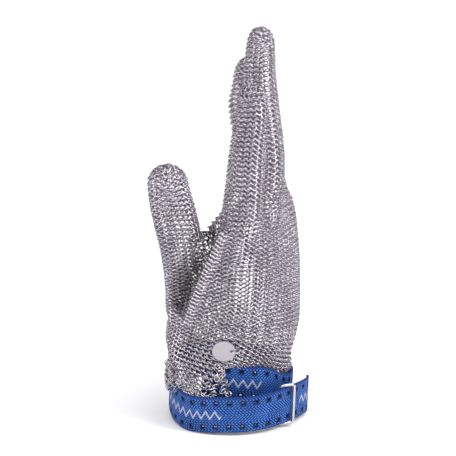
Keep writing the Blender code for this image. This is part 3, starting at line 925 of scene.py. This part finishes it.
fittings = {
    "wireRounding": 2,       # levels of subdivision
    "wireColours": [(0.42, 0.40, 0.41, 1.0), (0.66, 0.64, 0.63, 1.0)],
    "discColours": [(0.41, 0.38, 0.41, 1.0), (0.50, 0.465, 0.495, 1.0)],
    "rimWidth": 0.00018,
}


def wireMaterial():
    made, tree, shader = newMaterial("drawnWire", {"Metallic": 1.0})
    place = objectPlace(tree)
    # here the name holds only the place stretched along the wire, for its drawn lines
    paintedEyeletShadeAndWireStretch = addNode(tree, "ShaderNodeMapping", {}, {"Vector": place, "Scale": (1.0, 1.0, 0.06)})
    lines = noiseAt(tree, paintedEyeletShadeAndWireStretch, 3000.0, 3.0)
    smudge = noiseAt(tree, place, 250.0)
    feed(shader, "Base Color", mixColours(tree, smudge, *fittings["wireColours"]))
    feed(shader, "Roughness", lines * 0.15 + smudge * 0.15 + 0.15)
    feed(shader, "Normal", bumpOf(tree, lines, 0.00003, 0.6))
    return made


def discMaterial():
    made, tree, shader = newMaterial("satinDisc", {"Metallic": 1.0})
    place = objectPlace(tree)
    brushed = addNode(tree, "ShaderNodeMapping", {}, {"Vector": place, "Scale": (1.0, 0.05, 1.0)})
    lines = noiseAt(tree, brushed, 4000.0, 3.0)
    cloud = noiseAt(tree, place, 300.0)
    feed(shader, "Base Color", mixColours(tree, cloud, *fittings["discColours"]))
    feed(shader, "Roughness", lines * 0.15 + cloud * 0.1 + 0.42)
    feed(shader, "Normal", bumpOf(tree, lines, 0.00002, 0.5))
    return made


def buildFittings():
    wire = wireMaterial()
    for node, name in [("slide", "wireSlide"), ("tag_ring", "wireRing")]:
        piece = copyOf(node, name)
        editAll(piece, bpy.ops.mesh.tris_convert_to_quads)
        levels = fittings["wireRounding"]
        addModifier(piece, "SUBSURF", levels=levels, render_levels=levels)
        applyModifiers(piece)
        piece.data.shade_smooth()
        finishPiece(piece, node, wire)
    disc = copyOf("tag", "satinTag")
    editAll(disc, lambda: bpy.ops.mesh.dissolve_limited(angle_limit=math.radians(2)))
    addModifier(
        disc, "BEVEL", width=fittings["rimWidth"], segments=3, limit_method="ANGLE",
        angle_limit=math.radians(50),
    )
    applyModifiers(disc)
    disc.data.shade_smooth()
    pickOnly(disc)
    bpy.ops.object.shade_smooth_by_angle(angle=math.radians(35))
    finishPiece(disc, "tag", discMaterial())
    print("fittings: slide, ring and disc")


studio = {
    "azimuth": -72.0,
    "elevation": 15.0,
    "distance": 2.0,
    "width": 0.2508,        # what the camera sees across at the glove
    "aimRight": -0.0047,
    "aimUp": 0.0886,
    "floorSize": 8.0,
    "floorBelow": 0.0002,
    "floorColours": [(0.92, 0.92, 0.93, 1.0), (0.96, 0.96, 0.965, 1.0)],
    "skyColour": (0.95, 0.93, 1.0, 1.0),
    "sky": 0.10,
    "ceiling": 3.0,
    "ceilingSpread": 80.0,
    "ceilingTilt": (0.25, 0.25),   # towards the camera and to its right
    # name, place from the aim to the camera's right, up and back, size, power
    "lamps": [
        ("frontLight", 0.0, 0.5, 1.6, 0.9, 4.0),
        ("keyLight", 0.9, 0.7, 0.8, 0.4, 11.0),
        ("sideLight", -1.0, 0.5, 0.5, 0.4, 6.0),
    ],
}


def turnToward(thing, direction):
    # a lamp shines down its own Z axis, so its Z looks away from what it lights
    thing.rotation_euler = direction.to_track_quat("Z", "Y").to_euler()


def buildFloor():
    bpy.ops.object.select_all(action="DESELECT")
    bpy.ops.mesh.primitive_plane_add(
        size=studio["floorSize"], location=(0.0, 0.0, cadBounds[0].z - studio["floorBelow"])
    )
    floor = bpy.context.object
    floor.name = "floor"
    applyPlace(floor)
    made, tree, shader = newMaterial("paleFloor", {"Roughness": 0.9})
    cloud = noiseAt(tree, objectPlace(tree), 3.0)
    feed(shader, "Base Color", mixColours(tree, cloud, *studio["floorColours"]))
    floor.data.materials.append(made)


def buildStudio():
    buildFloor()
    azimuth, elevation = math.radians(studio["azimuth"]), math.radians(studio["elevation"])
    level = math.cos(elevation)
    back = Vector((math.sin(azimuth) * level, -math.cos(azimuth) * level, math.sin(elevation)))
    right = Vector((math.cos(azimuth), math.sin(azimuth), 0.0))
    up = back.cross(right)
    aim = right * studio["aimRight"] + up * studio["aimUp"]

    for name, toRight, upwards, toBack, size, power in studio["lamps"]:
        place = aim + right * toRight + up * upwards + back * toBack
        bpy.ops.object.light_add(type="AREA", location=place)
        lamp = bpy.context.object
        lamp.name = name
        lamp.data.size = size
        lamp.data.energy = power
        turnToward(lamp, place - aim)
    bpy.ops.object.light_add(type="SUN", location=(0.0, 0.0, 3.0))
    ceiling = bpy.context.object
    ceiling.name = "ceilingLight"
    ceiling.data.energy = studio["ceiling"]
    ceiling.data.angle = math.radians(studio["ceilingSpread"])
    toBack, toRight = studio["ceilingTilt"]
    turnToward(ceiling, back * toBack + right * toRight + Vector((0.0, 0.0, 1.0)))

    world = bpy.data.worlds.new("softRoom")
    world.use_nodes = True
    background = world.node_tree.nodes["Background"]
    background.inputs["Color"].default_value = studio["skyColour"]
    background.inputs["Strength"].default_value = studio["sky"]
    bpy.context.scene.world = world
    bpy.context.scene.view_settings.view_transform = "Standard"

    camera = bpy.data.objects.new("camera", bpy.data.cameras.new("camera"))
    bpy.context.collection.objects.link(camera)
    camera.data.lens = camera.data.sensor_width * studio["distance"] / studio["width"]
    camera.data.clip_end = 20.0
    turned = Matrix((right, up, back)).transposed().to_4x4()
    camera.matrix_world = Matrix.Translation(aim + back * studio["distance"]) @ turned
    bpy.context.scene.camera = camera
    print("studio: floor, lights and camera")


buildMail()
buildStrap()
buildFittings()
buildStudio()
